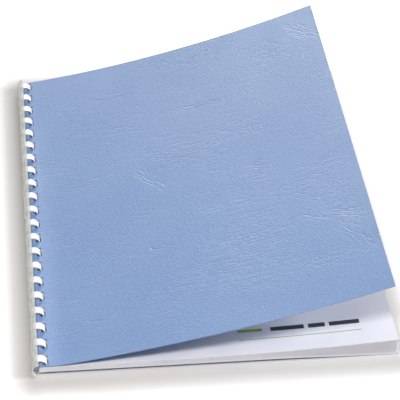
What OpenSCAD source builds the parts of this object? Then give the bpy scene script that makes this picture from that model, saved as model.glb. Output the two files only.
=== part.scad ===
// Comb-bound A4 booklet lying on its back cover with the front cover sprung open.
// +Z is up, Y runs along the bound edge, and the fore edge is on the +X side.
// The origin is under the middle of the whole booklet, on the surface it lies on.

/* [Sheets] */
// length of every sheet along the bound edge
sheet_length = 297; // [200:1:330]
// width of every sheet from the bound edge to the fore edge
sheet_width = 210; // [140:1:300]
// thickness of one printed leaf
leaf_thickness = 0.11; // [0.08:0.01:0.15]
// thickness of each card cover
cover_thickness = 0.3; // [0.2:0.05:0.5]

/* [Punched holes] */
// distance from one hole to the next, nine sixteenths of an inch
hole_pitch = 14.2875; // [12:0.0125:16]
// length of a hole along the bound edge
hole_length = 8; // [7:0.1:9]
// width of a hole across the bound edge
hole_width = 2.9; // [2.8:0.1:3.4]
// width of the strip of paper between a hole and the bound edge
hole_inset = 2.7; // [2:0.1:3.3]
// how far the row of holes lies from the middle of the sheets, towards the near end
hole_shift = 0.5; // [0:0.1:0.8]

/* [Comb] */
// outer diameter of the plastic rings
ring_diameter = 9.5; // [9:0.5:14]
// thickness of the plastic
comb_wall = 0.4; // [0.3:0.05:0.5]
// width of a tine along the comb
tine_width = 5.4; // [4:0.1:6.5]
// angle of the spine strip's upper edge, counted up from +X around the ring
spine_top = 101; // [90:1:130]
// part of the ring that the spine strip takes up, in degrees
spine_arc = 138; // [60:1:150]

/* [Lifted front cover] */
// gap between the cover and the title page beside the comb
cover_float = 0.32; // [0.01:0.01:1]
// slope of the cover beside the comb at the near end, in degrees
near_slope = 0.7; // [0.5:0.1:8]
// extra slope past the crease at the near end, in degrees
near_crease = 7.3; // [0:0.1:15]
// distance of that crease from the bound edge
crease_place = 12.3; // [8:0.1:60]
// extra slope gained from there to the fore edge at the near end, in degrees
near_spring = 10.5; // [0:0.1:12]
// slope of the cover beside the comb at the far end, in degrees
far_slope = 8.1; // [4:0.1:12]
// extra slope gained from there to the fore edge at the far end, in degrees
far_spring = 13.6; // [0:0.1:20]

/* [Curl of the leaves] */
// distance from the bound edge at which the upper leaves begin to curl up
curl_start = 20; // [10:1:100]
// how late the curl sets in, as the power of the distance
curl_power = 2.6; // [1.5:0.1:4]
// gap between two bundles of leaves at the fore edge
bundle_gap = 0.35; // [0:0.05:1]
// gap between two leaves of the loosest bundle there
leaf_fan = 0.52; // [0.1:0.02:0.8]
// width of the strip along the fore edge that lies on the surface
fore_rest = 10; // [5:1:40]
// width over which the booklet comes down to that strip
fore_fall = 60; // [20:1:90]

/* [Hidden] */
leaf_count = 32;         // the title page is the last of them
bundle_leaves = [12, 7, 6, 7];          // the block lies in four bundles, counted from the bottom
bundle_open = [0, 0.85, 1, 1.7];        // share of bundle_gap under each bundle
bundle_loose = [0, 0.8, 1, 0.33];       // share of leaf_fan between its leaves
sheet_gap = 0.005;       // air between two sheets that lie on each other
curl_steps = 19;
far_power = 0.85;        // how early the far end of the cover springs up
crease_width = 14;
cover_steps = 30;        // facets of the front cover across its width
cover_bands = 8;         // and along the bound edge
hole_slack = 0.3;        // room between the outside of a ring and the end of its hole
tine_play = 0.2;         // room between a tine and the near end of its hole
bind_slack = 0.28;       // room between the inside of a ring and the lowest sheet
hole_end_land = 1;       // least paper between the last hole and the sheet's end
tine_tuck = 20;          // how far a tine reaches in behind the spine strip, in degrees
tine_draw = 0.6;         // how much a tine spirals inwards
tine_round_end = 300;    // angle at which the spiral begins
strip_facets = 14;
tine_facets = 24;
cut_extra = 5;           // a hole cutter passes this far through the sheet

ring_radius = ring_diameter / 2;
ring_inner = ring_radius - comb_wall;
hole_room = sheet_length - hole_length - 2 * hole_end_land;
hole_count = floor(hole_room / hole_pitch) + 1;
comb_length = hole_count * hole_pitch;

// the ring's centre is at x = 0 and one ring radius above the surface
bound_edge = ring_radius + hole_slack - hole_inset - hole_width;
hole_start = bound_edge + hole_inset;
spine_lift = ring_radius - sqrt(pow(ring_inner, 2) - pow(hole_start, 2)) + bind_slack;
leaf_pitch = leaf_thickness + sheet_gap;
curl_run = sheet_width - curl_start;
fall_start = sheet_width - fore_rest - fore_fall;
block_height = cover_thickness + sheet_gap + leaf_count * leaf_pitch;
cover_middle = spine_lift + block_height + cover_float + cover_thickness / 2;
origin_x = (bound_edge + sheet_width - ring_radius) / 2;

// places along Y are counted from the middle of the sheets; the comb has slid to the near ends of its holes
hole_row_y = -hole_shift;
tine_row_y = hole_row_y - ((hole_length - tine_width) / 2 - tine_play);
near_end = min(-sheet_length, 2 * tine_row_y - comb_length) / 2;
far_end = max(sheet_length, 2 * tine_row_y + comb_length) / 2;
origin_y = (near_end + far_end) / 2;

spine_bottom = spine_top + spine_arc;
strip_step = spine_arc / strip_facets;
tine_end = spine_top + tine_tuck + 360;

cover_blue = [0.55, 0.67, 0.83];
paper_white = [0.95, 0.95, 0.97];
clear_plastic = [0.82, 0.85, 0.86, 0.6];

function leaf_name(k) = k == leaf_count ? "title_page" : str("leaf_", k < 10 ? "0" : "", k);

// ---- outlines ----

function smooth(t) = t <= 0 ? 0 : t >= 1 ? 1 : t * t * (3 - 2 * t);

// height of the back cover above the surface, at distance s from the bound edge
function lift(s) = spine_lift * (1 - smooth((s - fall_start) / fore_fall));

// gaps at the fore edge added up to leaf k, by walking up through the bundles
function fore_gap(k, bundle = 0) = k <= bundle_leaves[bundle] ?
    bundle_open[bundle] * bundle_gap + (k - 1) * bundle_loose[bundle] * leaf_fan :
    fore_gap(bundle_leaves[bundle], bundle) + fore_gap(k - bundle_leaves[bundle], bundle + 1);
top_gap = fore_gap(leaf_count);

// the top leaf keeps its height where the others fall away, and curls up beyond that
function curl(s) = spine_lift - lift(s)
    + (top_gap - spine_lift) * pow(max(0, s - curl_start) / curl_run, curl_power);

// underside of a sheet from the bound edge to the fore edge, as [x, z] points
stations = concat([0], [for (i = [0:curl_steps]) curl_start + curl_run * i / curl_steps]);
function sheet_line(base, gap) =
    [for (s = stations) [bound_edge + s, base + lift(s) + curl(s) * gap / top_gap]];

function raised(line, height) = [for (p = line) [p.x, p.y + height]];
function turned(line) = [for (i = [len(line) - 1:-1:0]) line[i]];

// slope of the front cover at distance s from the bound edge
function near_angle(s) = near_slope + near_spring * s / sheet_width
    + near_crease * smooth((s - crease_place) / crease_width + 0.5);
function far_angle(s) = far_slope + far_spring * pow(s / sheet_width, far_power);

// middle line of the cover's two ends, each step laid on from the one before
cover_step = sheet_width / cover_steps;
function near_point(i) = i == 0 ? [bound_edge, cover_middle] :
    near_point(i - 1) + cover_step * heading(near_angle((i - 0.5) * cover_step));
function far_point(i) = i == 0 ? [bound_edge, cover_middle] :
    far_point(i - 1) + cover_step * heading(far_angle((i - 0.5) * cover_step));
function heading(a) = [cos(a), sin(a)];
function mix(a, b, t) = a + (b - a) * t;

// place of hole or tine i along its row
function row_place(i) = (i - (hole_count - 1) / 2) * hole_pitch;

function ring_point(radius, a) = [radius * cos(a), ring_radius + radius * sin(a)];
// outer radius of a tine at angle a
function tine_radius(a) =
    ring_radius - tine_draw * max(0, (a - tine_round_end) / (tine_end - tine_round_end));

// ---- building blocks ----

// lays an [x, z] outline along Y
module along_y(length) {
    rotate([90, 0, 0]) linear_extrude(height = length, center = true) children();
}

module placed() {
    translate([-origin_x, -origin_y, 0]) children();
}

// cutters for the punched holes
module hole_row() {
    for (i = [0:hole_count - 1])
        translate([hole_start, hole_row_y + row_place(i) - hole_length / 2, -cut_extra])
            cube([hole_width, hole_length, cover_middle + 2 * cut_extra]);
}

// a punched sheet whose underside is base above the surface
module sheet(base, thickness, gap) {
    line = sheet_line(base, gap);
    placed() difference() {
        along_y(sheet_length) polygon(concat(line, turned(raised(line, thickness))));
        hole_row();
    }
}

// ---- the pieces ----

module back_cover() {
    color(cover_blue) sheet(0, cover_thickness, 0);
}

module leaf(k) {
    base = cover_thickness + sheet_gap + (k - 1) * leaf_pitch;
    color(paper_white) sheet(base, leaf_thickness, fore_gap(k));
}

// the card springs up evenly at the far end and folds at a crease at the near end
module front_cover() {
    near_line = [for (i = [0:cover_steps]) near_point(i)];
    far_line = [for (i = [0:cover_steps]) far_point(i)];
    points = [for (side = [-1, 1], j = [0:cover_bands], i = [0:cover_steps])
        let (
            t = j / cover_bands,
            middle = mix(near_line[i], far_line[i], t),
            slope = mix(near_angle(i * cover_step), far_angle(i * cover_step), t),
            p = middle + side * cover_thickness / 2 * [-sin(slope), cos(slope)]
        )
        [p.x, (t - 0.5) * sheet_length, p.y]];
    row = cover_steps + 1;
    layer = row * (cover_bands + 1);
    last_row = row * cover_bands;
    skins = [for (j = [0:cover_bands - 1], i = [0:cover_steps - 1])
        let (a = j * row + i)
        each [
            [a, a + 1, a + row + 1], [a, a + row + 1, a + row],
            [a + layer, a + layer + row + 1, a + layer + 1],
            [a + layer, a + layer + row, a + layer + row + 1]
        ]];
    near_and_far_rims = [for (i = [0:cover_steps - 1])
        let (b = last_row + i)
        each [[i, i + layer, i + layer + 1, i + 1], [b, b + 1, b + layer + 1, b + layer]]];
    side_rims = [for (j = [0:cover_bands - 1])
        let (a = j * row, b = a + cover_steps)
        each [[a, a + row, a + row + layer, a + layer], [b, b + layer, b + row + layer, b + row]]];
    color(cover_blue) placed() difference() {
        polyhedron(points, concat(skins, near_and_far_rims, side_rims));
        hole_row();
    }
}

module spine_strip() {
    outer = [for (i = [0:strip_facets]) ring_point(ring_radius, spine_top + i * strip_step)];
    inner = [for (i = [0:strip_facets]) ring_point(ring_inner, spine_top + i * strip_step)];
    along_y(comb_length) polygon(concat(outer, turned(inner)));
}

// a tine leaves the strip's lower edge, passes through its hole and tucks in behind the upper edge
module tine() {
    angles = concat([spine_bottom - strip_step],
        [for (i = [0:tine_facets]) mix(spine_bottom, tine_end, i / tine_facets)]);
    outer = [for (a = angles) ring_point(tine_radius(a), a)];
    inner = [for (a = angles) ring_point(tine_radius(a) - comb_wall, a)];
    along_y(tine_width) polygon(concat(outer, turned(inner)));
}

module comb() {
    color(clear_plastic) placed() translate([0, tine_row_y, 0]) union() {
        spine_strip();
        for (i = [0:hole_count - 1])
            translate([0, row_place(i), 0]) tine();
    }
}

back_cover();
for (k = [1:leaf_count])
    leaf(k);
front_cover();
comb();
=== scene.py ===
"""Looks of the comb-bound booklet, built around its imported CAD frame. Lengths are in metres."""

import math

import bpy
import numpy as np
from mathutils import Matrix, Vector


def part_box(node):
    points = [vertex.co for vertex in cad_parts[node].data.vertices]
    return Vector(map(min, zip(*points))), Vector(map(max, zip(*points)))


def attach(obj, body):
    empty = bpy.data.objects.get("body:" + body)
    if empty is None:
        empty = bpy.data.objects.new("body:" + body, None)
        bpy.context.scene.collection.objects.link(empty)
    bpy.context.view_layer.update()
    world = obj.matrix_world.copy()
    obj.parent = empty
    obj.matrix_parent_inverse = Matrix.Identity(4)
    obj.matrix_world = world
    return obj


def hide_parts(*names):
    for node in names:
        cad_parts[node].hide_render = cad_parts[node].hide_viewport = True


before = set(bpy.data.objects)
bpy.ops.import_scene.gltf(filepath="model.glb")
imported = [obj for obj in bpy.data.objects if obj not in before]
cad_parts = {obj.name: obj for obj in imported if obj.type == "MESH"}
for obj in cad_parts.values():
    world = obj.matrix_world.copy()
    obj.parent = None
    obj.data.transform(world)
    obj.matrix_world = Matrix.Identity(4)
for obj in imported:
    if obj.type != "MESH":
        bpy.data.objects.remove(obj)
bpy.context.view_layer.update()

MM = 0.001

# ---- sizes of the booklet, the same as the solids' ----

SHEET_L, SHEET_W = 297 * MM, 210 * MM
LEAF_T, CARD_T, SHEET_GAP = 0.11 * MM, 0.3 * MM, 0.005 * MM
HOLE_PITCH, HOLES = 14.2875 * MM, 21
HOLE_L, HOLE_W, HOLE_INSET = 8 * MM, 2.9 * MM, 2.7 * MM
HOLE_SHIFT = 0.5 * MM
RING_R, WALL = 4.75 * MM, 0.4 * MM
TINE_W, TINE_DRAW = 5.4 * MM, 0.6 * MM
COMB_L = HOLES * HOLE_PITCH

# room left: from a ring to the hole's far side, from a ring's inside to the sheets, and beside a tine
HOLE_SLACK, BIND_SLACK, TINE_PLAY = 0.3 * MM, 0.28 * MM, 0.2 * MM

# degrees round the ring: the strip, from its top down to its bottom, and the end of the tines, which keep
# the ring's radius up to TINE_ROUND_END and then draw in by TINE_DRAW to tuck in behind the strip
SPINE_TOP, SPINE_ARC, TINE_TUCK, TINE_ROUND_END = 101, 138, 20, 300
SPINE_BOTTOM, TINE_END = SPINE_TOP + SPINE_ARC, SPINE_TOP + TINE_TUCK + 360

# the sheets lie flat along the fore edge, and rise over FORE_FALL to the height where the comb holds them
FORE_REST, FORE_FALL = 10 * MM, 60 * MM

# the curl of the leaves, which starts at this distance from the bound edge, and how their bundles part
CURL_START, CURL_POWER = 20 * MM, 2.6
BUNDLE_GAP, LEAF_FAN = 0.35 * MM, 0.52 * MM
BUNDLES = ((12, 0, 0), (7, 0.85, 0.8), (6, 1, 1), (7, 1.7, 0.33))  # leaves, share of gap, share of fan
LEAVES = sum(b[0] for b in BUNDLES)

# the front cover: its float above the top leaf, and the lines of its two ends in degrees: the slope at the
# bound edge, what the near end's crease adds, and what the card's spring adds up to the fore edge
COVER_FLOAT = 0.32 * MM
NEAR_SLOPE, NEAR_CREASE, NEAR_SPRING = 0.7, 7.3, 10.5
CREASE_PLACE, CREASE_WIDTH = 12.3 * MM, 14 * MM
FAR_SLOPE, FAR_SPRING, FAR_POWER = 8.1, 13.6, 0.85
COVER_STEPS = 600

# places in the frame: the bound edge, the middle of the sheets, and the two rows along the comb
sheet_low, sheet_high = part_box("back_cover")
LEFT = sheet_low[0]
MIDDLE = (sheet_low[1] + sheet_high[1]) / 2
HOLE_ROW = MIDDLE - HOLE_SHIFT
TINE_ROW = HOLE_ROW - ((HOLE_L - TINE_W) / 2 - TINE_PLAY)
HOLE_START = RING_R + HOLE_SLACK - HOLE_W  # from the ring's centre
RING_X = LEFT + HOLE_INSET - HOLE_START
LIFT = RING_R - math.sqrt((RING_R - WALL) ** 2 - HOLE_START ** 2) + BIND_SLACK


def smooth(t):
    t = min(max(t, 0.0), 1.0)
    return t * t * (3 - 2 * t)


def mix(a, b, t):
    return a + (b - a) * t


# ---- camera: the photograph's view, fitted to the corners of the A4 sheets ----

AIM = Vector((RING_X + 105 * MM, MIDDLE, 10 * MM))  # near the middle of the sheets
AZIMUTH, ELEVATION, ROLL = (math.radians(a) for a in (-7.21, 36.93, 1.61))
DISTANCE, SLIDE_X, SLIDE_Y = 1145.7 * MM, 3.67 * MM, -1.52 * MM
FOCAL_PX, FRAME_PX, SENSOR = 1776.8, 400, 36.0


def make_camera():
    back = Vector((math.sin(AZIMUTH) * math.cos(ELEVATION), -math.cos(AZIMUTH) * math.cos(ELEVATION),
                   math.sin(ELEVATION)))
    level = Vector((math.cos(AZIMUTH), math.sin(AZIMUTH), 0))
    upright = back.cross(level)
    right = math.cos(ROLL) * level + math.sin(ROLL) * upright
    up = -math.sin(ROLL) * level + math.cos(ROLL) * upright
    data = bpy.data.cameras.new("camera")
    data.sensor_width = SENSOR
    data.lens = FOCAL_PX / FRAME_PX * SENSOR
    cam = bpy.data.objects.new("camera", data)
    bpy.context.scene.collection.objects.link(cam)
    place = AIM + SLIDE_X * right + SLIDE_Y * up + DISTANCE * back
    turn = Matrix((right, up, back)).transposed().to_4x4()
    cam.matrix_world = Matrix.Translation(place) @ turn
    bpy.context.scene.camera = cam


# ---- small helpers for materials ----

MIX_A, MIX_B, MIX_RESULT = 6, 7, 2  # the colour sockets of a Mix node


class Nodes:
    """A material with short calls for its nodes."""

    def __init__(self, name):
        self.material = bpy.data.materials.new(name)
        self.material.use_nodes = True
        self.tree = self.material.node_tree
        self.shader = self.tree.nodes["Principled BSDF"]
        self.out = self.tree.nodes["Material Output"]

    def put(self, node, key, value):
        """Link an input to a socket, or set it to a plain value."""
        socket = node.inputs[key]
        if isinstance(value, bpy.types.NodeSocket):
            self.tree.links.new(value, socket)
        else:
            socket.default_value = value

    def add(self, kind, props=None, **inputs):
        """A new node. Its inputs go by name, with _ for a space, or by number, as i0 and i1."""
        node = self.tree.nodes.new("ShaderNode" + kind)
        for key, value in (props or {}).items():
            setattr(node, key, value)
        for key, value in inputs.items():
            numbered = key[0] == "i" and key[1:].isdigit()
            self.put(node, int(key[1:]) if numbered else key.replace("_", " "), value)
        return node

    def math(self, op, a, b=0.0):
        return self.add("Math", {"operation": op}, i0=a, i1=b).outputs[0]

    def vector(self, op, a, b=(0, 0, 0)):
        return self.add("VectorMath", {"operation": op}, i0=a, i1=b).outputs[0]

    def length(self, vector):
        return self.add("VectorMath", {"operation": "LENGTH"}, i0=vector).outputs["Value"]

    def ramp(self, value, low, high, to_low=0.0, to_high=1.0):
        """A smooth step from to_low at low to to_high at high, level on both sides."""
        node = self.add("MapRange", {"interpolation_type": "SMOOTHSTEP"}, Value=value)
        for key, v in (("From Min", low), ("From Max", high), ("To Min", to_low), ("To Max", to_high)):
            node.inputs[key].default_value = v
        return node.outputs[0]

    def place(self, scale=(1, 1, 1), turn=0, shift=(0, 0, 0)):
        """Object coordinates in millimetres: stretched, then turned about Z, then shifted."""
        coords = self.add("TexCoord").outputs["Object"]
        node = self.add("Mapping", Vector=coords)
        node.inputs["Scale"].default_value = [s / MM for s in scale]
        node.inputs["Rotation"].default_value = (0, 0, math.radians(turn))
        node.inputs["Location"].default_value = shift
        return node.outputs[0]

    def around(self, x, y, angle, length, width):
        """Coordinates about a place on the sheet, along and across the angle, 1 at the ends of an oval."""
        a = math.radians(angle)
        middle = Vector((LEFT / MM + x, MIDDLE / MM + y, 0))
        middle.rotate(Matrix.Rotation(-a, 3, "Z"))
        turned = self.place(turn=-angle, shift=-middle)
        node = self.add("Mapping", Vector=turned)
        node.inputs["Scale"].default_value = (2 / length, 2 / width, 0)
        return node.outputs[0]

    def oval(self, *place):
        """1 in the middle of an oval patch, fading to 0 at its edge."""
        return self.ramp(self.length(self.around(*place)), 0.3, 1.0, 1.0, 0.0)

    def bar(self, x0, x1, y0, y1):
        """1 inside a rectangle, in millimetres from the bound edge and from the middle of the length."""
        coords = self.around((x0 + x1) / 2, (y0 + y1) / 2, 0, x1 - x0, y1 - y0)
        flat = self.add("SeparateXYZ", Vector=coords)
        inside = [self.math("LESS_THAN", self.math("ABSOLUTE", flat.outputs[i]), 1.0) for i in (0, 1)]
        return self.math("MULTIPLY", *inside)

    def highest(self, values):
        top = values[0]
        for value in values[1:]:
            top = self.math("MAXIMUM", top, value)
        return top

    def noise(self, vector, scale, detail=2.0, rough=0.5, warp=0.0):
        node = self.add("TexNoise", Vector=vector, Scale=scale, Detail=detail, Roughness=rough,
                        Distortion=warp)
        return node.outputs[0]

    def ridges(self, noise, width):
        """1 along the lines where a noise has its middle value, fading to 0 within width of it."""
        return self.ramp(self.math("ABSOLUTE", self.math("SUBTRACT", noise, 0.5)), 0.0, width, 1.0, 0.0)

    def spread(self, noise, to_low=0.0, to_high=1.0):
        """A noise, stretched to run from to_low to to_high."""
        return self.ramp(noise, 0.3, 0.7, to_low, to_high)

    def colour(self, factor, a, b):
        node = self.add("Mix", {"data_type": "RGBA"}, Factor=factor)
        for index, value in ((MIX_A, a), (MIX_B, b)):
            self.put(node, index, value if isinstance(value, bpy.types.NodeSocket) else (*value, 1))
        return node.outputs[MIX_RESULT]

    def bump(self, height, distance, strength=1.0, normal=None):
        """distance is the real depth, in metres, that a height of 1 stands for."""
        node = self.add("Bump", Height=height, Distance=distance, Strength=strength)
        if normal is not None:
            self.put(node, "Normal", normal)
        return node.outputs[0]


def srgb(r, g, b):
    """Linear colour of an 8-bit sRGB one."""
    return tuple((c / 255 / 12.92) if c <= 10 else ((c / 255 + 0.055) / 1.055) ** 2.4 for c in (r, g, b))


# ---- materials ----

CARD_BLUE, CARD_PALE = srgb(109, 142, 192), srgb(117, 148, 195)
# the darker blue of the wrinkles and creases, and its share, are painted shade along them
CARD_SPECK, CARD_CREASE_SHADE = srgb(136, 164, 202), srgb(98, 128, 178)
SPECK_SHARE, CREASE_SHADE_SHARE = 0.35, 0.2
GRAIN_DEPTH, PORE_DEPTH, MARK_DEPTH = 0.04 * MM, 0.065 * MM, 0.15 * MM
WRINKLE_HEIGHT = 0.6  # against the creases
CARD_ROUGH, CARD_SPECULAR = (0.36, 0.46), 0.75

LEAF_WHITE, LEAF_PALE = srgb(240, 239, 245), srgb(245, 243, 249)
# the title page's paper is the leaves' paper painted a little darker: painted shade on the top sheet
TITLE_SHADED_WHITE, TITLE_SHADED_PALE = srgb(233, 232, 238), srgb(238, 237, 242)
FIBRE_TINT, FIBRE_SHARE, FIBRE_DEPTH = srgb(233, 230, 239), 0.3, 0.01 * MM
PAPER_ROUGH, PAPER_SPECULAR = (0.72, 0.82), 0.25
PRINT_DARK, PRINT_GREEN = srgb(58, 61, 66), srgb(150, 176, 58)

# the tines' white, their alpha and the tips' share below are a painted highlight on the tines and their
# tucked tips
STRIP_MILK, STRIP_PALE, TINE_HIGHLIGHT_WHITE = srgb(232, 235, 226), srgb(246, 248, 241), srgb(252, 250, 254)
STRIP_ALPHA, TINE_HIGHLIGHT_ALPHA, TIP_HIGHLIGHT_SHARE = (0.56, 0.8), 0.93, 0.85
DRAW_LINE_DEPTH = 0.03 * MM
PLASTIC_ROUGH, PLASTIC_SPECULAR, PLASTIC_IOR = (0.14, 0.24), 0.9, 1.52

# where the comb's painted highlight turns it white, from and to: into the tines and into their tucked tips,
# in millimetres across from the ring's centre, and out of a tip, in pitches from the middle of its tine
INTO_TINE_HIGHLIGHT, INTO_TIP_HIGHLIGHT, OUT_OF_TIP_HIGHLIGHT = (-1.6, -0.6), (-3.1, -2.5), (0.17, 0.2)

# the heading on the title page, in millimetres from the bound edge and from the middle of its length: the
# ends of the bars that stand for words, the low and high edges of the bars, the dash and the rule, and the
# ends of the dash and the rule
WORD_BARS = ((137, 157), (159.5, 169.5), (172, 190))
WORD_ROW, DASH_ROW, RULE_ROW = (-130.0, -126.4), (-129.4, -127.0), (-136.2, -135.6)
DASH_BAR, RULE_BAR = (117.5, 132), (117.5, 190)

# bundles of creases in the front cover's grain: direction in degrees, then the middle (from the bound edge
# and from the middle of its length), length and width of each patch, in millimetres
CREASES = {
    -56: ((77, 9, 46, 13), (192, 122, 50, 15), (192, -95, 46, 17), (201, -101, 24, 10)),
    -30: ((171, -70, 26, 12), (170, -48, 26, 12), (190, -74, 30, 13)),
    -4: ((117, 75, 54, 12), (147, -5, 30, 12), (124, -67, 32, 9), (16, -94, 28, 7), (33, -118, 30, 12),
         (125, 22, 22, 8), (20, -40, 16, 8), (70, -60, 40, 14), (60, 110, 46, 14)),
}
CREASE_SCALE = (0.035, 0.42, 0.1)  # cells of their noise per millimetre: along, across and in height
CREASE_DRIFT = 3.4  # how far they wander from straight, in cells


def creases(n, directions):
    """Height of the creases, from 0 to 1: fine broken ridges that run along each direction."""
    layers = []
    for angle, patches in directions.items():
        wander = n.noise(n.place((0.03, 0.05, 0.05), turn=-angle), 1.0, 1.0)
        along = n.add("Mapping", Vector=n.place(turn=-angle))
        along.inputs["Scale"].default_value = CREASE_SCALE
        drift = n.add("CombineXYZ", Y=n.math("MULTIPLY", wander, CREASE_DRIFT))
        lines = n.noise(n.vector("ADD", along.outputs[0], drift.outputs[0]), 1.0, warp=0.2)
        within = n.highest([n.oval(x, y, angle, long, wide) for x, y, long, wide in patches])
        layers.append(n.math("MULTIPLY", n.ridges(lines, 0.05), within))
    return n.highest(layers)


def card_material(name, directions):
    """Light blue cover card, embossed with a fine leather grain, long wrinkles and bundles of creases, with
    painted shade darkening the blue along the wrinkles and creases.
    """
    n = Nodes(name)
    cells = n.add("TexVoronoi", {"feature": "DISTANCE_TO_EDGE"}, Vector=n.place((0.42, 0.72, 0.6)),
                  Scale=1.0)
    grain = n.ramp(cells.outputs["Distance"], 0.0, 0.25)
    pores = n.noise(n.place((0.5, 0.85, 0.7)), 1.0, 3.0, 0.6)
    wrinkle = n.noise(n.place((0.03, 0.3, 0.2), turn=-3), 1.0, 4.0, 0.6, 0.5)
    where = n.ramp(n.noise(n.place((1, 1.6, 1)), 0.022), 0.42, 0.7)
    wrinkles = n.math("MULTIPLY", n.math("MULTIPLY", n.ridges(wrinkle, 0.07), where), WRINKLE_HEIGHT)
    marks = n.highest([wrinkles, creases(n, directions)]) if directions else wrinkles
    patch = n.noise(n.place(), 0.018, 3.0)
    base = n.colour(n.spread(patch), CARD_BLUE, CARD_PALE)
    speck = n.colour(n.ramp(pores, 0.35, 0.7, 0.0, SPECK_SHARE), base, CARD_SPECK)
    # painted shade: the wrinkles and creases darken the card's blue
    n.put(n.shader, "Base Color", n.colour(n.math("MULTIPLY", marks, CREASE_SHADE_SHARE), speck, CARD_CREASE_SHADE))
    n.put(n.shader, "Roughness", n.spread(pores, *CARD_ROUGH))
    n.shader.inputs["Specular IOR Level"].default_value = CARD_SPECULAR
    fine = n.bump(pores, PORE_DEPTH, normal=n.bump(grain, GRAIN_DEPTH))
    n.put(n.shader, "Normal", n.bump(marks, -MARK_DEPTH, normal=fine))
    return n.material


def paper_nodes(name, white, pale):
    """Smooth office paper with a faint fibre, and the colour that it has where nothing is printed."""
    n = Nodes(name)
    fibre = n.noise(n.place((1, 2.5, 1)), 0.9, 3.0, 0.6)
    cloud = n.noise(n.place(), 0.05)
    base = n.colour(n.spread(cloud), white, pale)
    bare = n.colour(n.math("MULTIPLY", n.ramp(fibre, 0.4, 0.75), FIBRE_SHARE), base, FIBRE_TINT)
    n.put(n.shader, "Roughness", n.spread(fibre, *PAPER_ROUGH))
    n.shader.inputs["Specular IOR Level"].default_value = PAPER_SPECULAR
    n.put(n.shader, "Normal", n.bump(fibre, FIBRE_DEPTH, 0.5))
    return n, bare


def paper_material():
    n, bare = paper_nodes("leaf_paper", LEAF_WHITE, LEAF_PALE)
    n.put(n.shader, "Base Color", bare)
    return n.material


def title_material():
    """The same paper, made a little darker as painted shade, printed with a plain heading: bars in place of
    words, a dash and a thin rule.
    """
    n, bare = paper_nodes("title_paper", TITLE_SHADED_WHITE, TITLE_SHADED_PALE)
    words = n.highest([n.bar(*ends, *WORD_ROW) for ends in WORD_BARS])
    rules = n.highest([n.bar(*DASH_BAR, *DASH_ROW), n.bar(*RULE_BAR, *RULE_ROW)])
    n.put(n.shader, "Base Color", n.colour(rules, n.colour(words, bare, PRINT_DARK), PRINT_GREEN))
    return n.material


def plastic_material():
    """Slightly milky comb plastic with faint draw lines along the comb.

    It has a painted highlight: it is whiter and less clear in the tines, and where their tucked tips show
    through the strip.
    """
    n = Nodes("comb_plastic")
    lines = n.noise(n.place((1.5, 0.05, 1.5)), 1.0, 3.0, 0.6)
    mottle = n.noise(n.place((1, 0.3, 1)), 0.5)
    place = n.add("SeparateXYZ", Vector=n.place())
    across = n.math("SUBTRACT", place.outputs[0], RING_X / MM)
    pitches = n.math("DIVIDE", n.math("SUBTRACT", place.outputs[1], TINE_ROW / MM), HOLE_PITCH / MM)
    off = n.math("ABSOLUTE", n.math("SUBTRACT", n.math("FRACT", n.math("ADD", pitches, 0.5)), 0.5))
    # painted highlight: the tines, and their tucked tips where they show through the strip, turn whiter and
    # less clear
    tip = n.math("MULTIPLY", n.ramp(off, *OUT_OF_TIP_HIGHLIGHT, 1.0, 0.0), n.ramp(across, *INTO_TIP_HIGHLIGHT))
    tine = n.math("MAXIMUM", n.ramp(across, *INTO_TINE_HIGHLIGHT), n.math("MULTIPLY", tip, TIP_HIGHLIGHT_SHARE))
    milk = n.colour(lines, STRIP_MILK, STRIP_PALE)
    n.put(n.shader, "Base Color", n.colour(tine, milk, TINE_HIGHLIGHT_WHITE))
    n.put(n.shader, "Roughness", n.spread(lines, *PLASTIC_ROUGH))
    strip = n.spread(mottle, *STRIP_ALPHA)
    n.put(n.shader, "Alpha", n.math("MAXIMUM", strip, n.math("MULTIPLY", tine, TINE_HIGHLIGHT_ALPHA)))
    n.shader.inputs["IOR"].default_value = PLASTIC_IOR
    n.shader.inputs["Specular IOR Level"].default_value = PLASTIC_SPECULAR
    n.put(n.shader, "Normal", n.bump(lines, DRAW_LINE_DEPTH, 0.5))
    return n.material


# ---- bent sheets: a grid of cells laid along a curved surface, with real thickness ----

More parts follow.
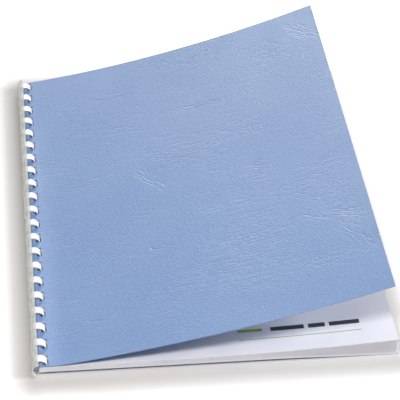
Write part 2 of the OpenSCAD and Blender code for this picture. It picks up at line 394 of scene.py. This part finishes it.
def bent_sheet(name, us, vs, surface, thickness, present):
    """A closed sheet of the grid's cells (i, j) for which present is true.

    surface(u, v) gives the middle point and the unit normal there.
    """
    rows, cols = len(us), len(vs)
    points, normals = np.zeros((rows, cols, 3)), np.zeros((rows, cols, 3))
    for i, u in enumerate(us):
        for j, v in enumerate(vs):
            points[i, j], normals[i, j] = surface(u, v)
    grid_normal = np.cross(points[1, 0] - points[0, 0], points[0, 1] - points[0, 0])
    facing = np.dot(grid_normal, normals[0, 0]) > 0
    cells = [(i, j) for i in range(rows - 1) for j in range(cols - 1) if present(i, j)]
    used = sorted({(a, b) for i, j in cells for a in (i, i + 1) for b in (j, j + 1)})
    index = {key: k for k, key in enumerate(used)}
    count = len(used)
    upper = np.array([points[k] + normals[k] * thickness / 2 for k in used])
    lower = np.array([points[k] - normals[k] * thickness / 2 for k in used])
    skin, sides = [], []
    for i, j in cells:
        ring = [index[(i, j)], index[(i + 1, j)], index[(i + 1, j + 1)], index[(i, j + 1)]]
        ring = ring if facing else ring[::-1]
        skin.append(ring)
        sides += zip(ring, ring[1:] + ring[:1])
    under = [[k + count for k in reversed(ring)] for ring in skin]
    side_set = set(sides)
    rims = [(a, b) for a, b in sides if (b, a) not in side_set]
    walls = [[b, a, a + count, b + count] for a, b in rims]
    mesh = bpy.data.meshes.new(name)
    mesh.from_pydata(np.vstack((upper, lower)).tolist(), [], skin + under + walls)
    mesh.polygons.foreach_set("use_smooth", [True] * (2 * len(skin)) + [False] * len(walls))
    mesh.update()
    sharp = {frozenset(edge) for a, b in rims for edge in ((a, b), (a + count, b + count))}
    for edge in mesh.edges:
        if frozenset(edge.vertices) in sharp:
            edge.use_edge_sharp = True
    piece = bpy.data.objects.new(name, mesh)
    bpy.context.scene.collection.objects.link(piece)
    return piece


def stations(low, high, step):
    """Even places from low up to, but without, high."""
    count = max(1, round((high - low) / step))
    return [mix(low, high, i / count) for i in range(count)]


def row_place(i):
    """Place of hole or tine i along its row."""
    return (i - (HOLES - 1) / 2) * HOLE_PITCH


def hole_rows():
    """Stations along Y with a line on every hole's end, and the indices of the cells inside holes."""
    ys = [sheet_low[1]]
    holes = set()
    for i in range(HOLES):
        middle = HOLE_ROW + row_place(i)
        ys += [middle - HOLE_L / 2, middle, middle + HOLE_L / 2]
        holes |= {len(ys) - 3, len(ys) - 2}
    ys.append(sheet_high[1])
    return ys, holes


ROWS, HOLE_ROWS = hole_rows()
COVER_CELL, SHEET_CELL = 2.5 * MM, 5 * MM  # across the sheet


def punched(name, surface, thickness, cell):
    """A sheet from the bound edge to the fore edge, with its row of holes."""
    head = [0, HOLE_INSET, HOLE_INSET + HOLE_W]
    us = head[:-1] + stations(head[-1], SHEET_W, cell) + [SHEET_W]
    return bent_sheet(name, us, ROWS, surface, thickness, lambda i, j: not (i == 1 and j in HOLE_ROWS))


# ---- the sheets: s is the distance from the bound edge, along the sheet ----

def lift(s):
    """How high the sheets are held at s by the comb, above where they would lie flat."""
    return LIFT * (1 - smooth((s - (SHEET_W - FORE_REST - FORE_FALL)) / FORE_FALL))


def fore_gap(k):
    """Gaps at the fore edge added up to leaf k, counted from 1 at the bottom."""
    total = 0
    for leaves, opened, loose in BUNDLES:
        here = min(k, leaves)
        total += opened * BUNDLE_GAP + (here - 1) * loose * LEAF_FAN
        k -= here
        if k == 0:
            return total


TOP_GAP = fore_gap(LEAVES)


def leaf_surface(base, gap, thickness):
    """Middle surface of a sheet that lies at base above the back cover's underside and curls by gap."""
    def height(s):
        curl = (max(0, s - CURL_START) / (SHEET_W - CURL_START)) ** CURL_POWER
        rise = LIFT - lift(s) + (TOP_GAP - LIFT) * curl
        return base + thickness / 2 + lift(s) + rise * gap / TOP_GAP

    def surface(s, y):
        return (LEFT + s, y, height(s)), (0, 0, 1)
    return surface


def leaf_base(k):
    return CARD_T + SHEET_GAP + (k - 1) * (LEAF_T + SHEET_GAP)


def cover_line(angle):
    """Middle line of one end of the front cover: [(x, z, slope)] at even steps of its width."""
    h = SHEET_W / COVER_STEPS
    x, z = LEFT, LIFT + leaf_base(LEAVES + 1) + COVER_FLOAT + CARD_T / 2
    line = [(x, z, angle(0))]
    for i in range(COVER_STEPS):
        a = math.radians(angle((i + 0.5) * h))
        x, z = x + h * math.cos(a), z + h * math.sin(a)
        line.append((x, z, angle((i + 1) * h)))
    return line


def near_angle(s):
    crease = smooth((s - CREASE_PLACE) / CREASE_WIDTH + 0.5)
    return NEAR_SLOPE + NEAR_SPRING * s / SHEET_W + NEAR_CREASE * crease


def far_angle(s):
    return FAR_SLOPE + FAR_SPRING * (s / SHEET_W) ** FAR_POWER


NEAR_LINE, FAR_LINE = cover_line(near_angle), cover_line(far_angle)


def cover_surface(s, y):
    """Middle surface of the front cover: a straight blend between the lines of its two ends."""
    place = s / SHEET_W * COVER_STEPS
    i = min(int(place), COVER_STEPS - 1)
    t = (y - MIDDLE) / SHEET_L + 0.5
    near = [mix(a, b, place - i) for a, b in zip(NEAR_LINE[i], NEAR_LINE[i + 1])]
    far = [mix(a, b, place - i) for a, b in zip(FAR_LINE[i], FAR_LINE[i + 1])]
    x, z, slope = (mix(a, b, t) for a, b in zip(near, far))
    slope = math.radians(slope)
    return (x, y, z), (-math.sin(slope), 0, math.cos(slope))


# ---- the comb ----

COMB_CELL = 6  # degrees round the ring
TINE_LINES = (-0.5, -0.42, -0.2, 0.2, 0.42, 0.5)  # across a tine, in shares of its width
TIP_ARC, TIP_WIDTH = 14, 0.45  # degrees of a tine's rounded tip, and the share of its width at the end
ROOT_ARC, ROOT_FLARE = 14, 0.12  # degrees of a tine's wider root, and how much wider it is
ON_TINE = TINE_W / 2 * 1.001  # from a tine's middle, with its edges counted in whatever the rounding


def comb_radius(a):
    """Radius of the comb's middle surface at a degrees round the ring."""
    draw = max(0, (a - TINE_ROUND_END) / (TINE_END - TINE_ROUND_END))
    return RING_R - TINE_DRAW * draw - WALL / 2


def tine_width(a):
    """Width of a tine at a degrees round the ring, against its full width."""
    tip = min((TINE_END - a) / TIP_ARC, 1)
    rounded = TIP_WIDTH + (1 - TIP_WIDTH) * math.sqrt(1 - (1 - tip) ** 2)
    flare = 1 + ROOT_FLARE * max(0, 1 - abs(a - SPINE_BOTTOM) / ROOT_ARC) ** 2
    return rounded * flare


def comb_piece():
    """The strip, which is whole along the comb, and the tines, which go on from its bottom."""
    strip = stations(SPINE_TOP, SPINE_BOTTOM, COMB_CELL)
    angles = strip + stations(SPINE_BOTTOM, TINE_END, COMB_CELL) + [TINE_END]
    ys, tines = [TINE_ROW - COMB_L / 2], set()
    for i in range(HOLES):
        middle = TINE_ROW + row_place(i)
        tines |= {len(ys) + m for m in range(len(TINE_LINES) - 1)}
        ys += [middle + TINE_W * share for share in TINE_LINES]
    ys.append(TINE_ROW + COMB_L / 2)

    def surface(a, y):
        turn = math.radians(a)
        out = (math.cos(turn), 0, math.sin(turn))
        middle = TINE_ROW + round((y - TINE_ROW) / HOLE_PITCH) * HOLE_PITCH
        off = y - middle
        if abs(off) <= ON_TINE:
            off *= tine_width(a)
        r = comb_radius(a)
        return (RING_X + r * out[0], middle + off, RING_R + r * out[2]), out

    return bent_sheet("comb_clear", angles, ys, surface, WALL, lambda i, j: i < len(strip) or j in tines)


# ---- stage ----

FLOOR_SIZE = 8
FLOOR_COLOUR = (0.68, 0.655, 0.635, 1)
# painted shade: next to the booklet, inside and just past this rectangle, the floor's glow is left out, so
# the floor reads darker there
PAINTED_SHADE_REACH = (105 * MM, 152.5 * MM, 0)  # half sizes of the rectangle under the booklet, which doesn't glow

# how the floor's glow grows with the distance past that rectangle: from, to, and strength reached; the glow
# left out near the booklet is painted shade around it
PAINTED_SHADE_GLOW = (1 * MM, 23 * MM, 0.6)
FAR_GLOW = (150 * MM, 900 * MM, 0.4)

LAMP_DISTANCE = 1.3
LAMPS = (  # name, azimuth and elevation in degrees, size, level
    ("front", -114, 52, 0.25, 0.41),
    ("side", -14, 30, 0.5, 0.38),
    ("back", 84, 23, 0.45, 0.19),
    ("top", 0, 88, 1.0, 0.08),
)
WORLD_LEVEL, WORLD_SEEN = 0.02, 1.0


def seen(tree):
    """1 for camera, glossy and transmission rays, which show a surface. 0 for rays that light others."""
    ray = tree.nodes.new("ShaderNodeLightPath")
    either = ray.outputs["Is Camera Ray"]
    for kind in ("Is Glossy Ray", "Is Transmission Ray"):
        node = tree.nodes.new("ShaderNodeMath")
        node.operation = "MAXIMUM"
        tree.links.new(either, node.inputs[0])
        tree.links.new(ray.outputs[kind], node.inputs[1])
        either = node.outputs[0]
    return either


def make_stage():
    """A pale floor that keeps the lamps' shadows, with painted shade round the booklet where its glow is
    left out, and looks plain white away from it.
    """
    bpy.ops.mesh.primitive_plane_add(size=FLOOR_SIZE, location=(0, 0, 0))
    floor = bpy.context.object
    floor.name = "floor"
    n = Nodes("floor_white_painted_shade")
    diffuse = n.add("BsdfDiffuse", Color=FLOOR_COLOUR)
    glow = n.add("Emission", Color=(1, 1, 1, 1))
    outside = n.vector("SUBTRACT", n.vector("ABSOLUTE", n.add("TexCoord").outputs["Object"]), PAINTED_SHADE_REACH)
    past = n.length(n.vector("MAXIMUM", outside))
    # painted shade: with no glow near the booklet, the floor there is darker
    near, far = (n.ramp(past, low, high, 0.0, level) for low, high, level in (PAINTED_SHADE_GLOW, FAR_GLOW))
    n.put(glow, "Strength", n.math("MULTIPLY", seen(n.tree), n.math("ADD", near, far)))
    both = n.add("AddShader", i0=diffuse.outputs[0], i1=glow.outputs[0])
    n.put(n.out, "Surface", both.outputs[0])
    floor.data.materials.append(n.material)


def lamp(name, azimuth, elevation, size, level):
    """A square soft lamp. level is what it adds on the floor, where 1 shows a colour as it is written."""
    a, e = math.radians(azimuth), math.radians(elevation)
    toward = Vector((math.cos(a) * math.cos(e), math.sin(a) * math.cos(e), math.sin(e)))
    data = bpy.data.lights.new(name, "AREA")
    data.shape = "SQUARE"
    data.size = size
    data.energy = level * math.pi ** 2 * LAMP_DISTANCE ** 2 / math.sin(e)
    light = bpy.data.objects.new(name, data)
    bpy.context.scene.collection.objects.link(light)
    light.location = toward * LAMP_DISTANCE
    light.rotation_euler = toward.to_track_quat("Z", "Y").to_euler()


def make_light():
    """The lamps, and a world that is plain white to look at and hardly lights the booklet."""
    world = bpy.data.worlds.new("studio")
    bpy.context.scene.world = world
    world.use_nodes = True
    tree = world.node_tree
    background = tree.nodes["Background"]
    background.inputs["Color"].default_value = (1, 1, 1, 1)
    level = tree.nodes.new("ShaderNodeMapRange")
    level.inputs["To Min"].default_value = WORLD_LEVEL
    level.inputs["To Max"].default_value = WORLD_SEEN
    tree.links.new(seen(tree), level.inputs["Value"])
    tree.links.new(level.outputs[0], background.inputs["Strength"])
    for row in LAMPS:
        lamp(*row)


# ---- the booklet: each piece stands for the node, and rides on the body, of the same name ----

def finish_piece(piece, node, material):
    piece.data.materials.append(material)
    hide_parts(node)
    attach(piece, node)


make_camera()
FRONT, BACK = card_material("front_cover_card", CREASES), card_material("back_cover_card", {})
PAPER, TITLE, PLASTIC = paper_material(), title_material(), plastic_material()

front_card = punched("front_card", cover_surface, CARD_T, COVER_CELL)
finish_piece(front_card, "front_cover", FRONT)
back_card = punched("back_card", leaf_surface(0, 0, CARD_T), CARD_T, SHEET_CELL)
finish_piece(back_card, "back_cover", BACK)
for number in range(1, LEAVES + 1):
    title = number == LEAVES
    node = "title_page" if title else f"leaf_{number:02d}"
    shape = leaf_surface(leaf_base(number), fore_gap(number), LEAF_T)
    sheet = punched("title_sheet" if title else f"paper_{number:02d}", shape, LEAF_T, SHEET_CELL)
    finish_piece(sheet, node, TITLE if title else PAPER)
finish_piece(comb_piece(), "comb", PLASTIC)

make_stage()
make_light()
bpy.context.scene.view_settings.view_transform = "Standard"
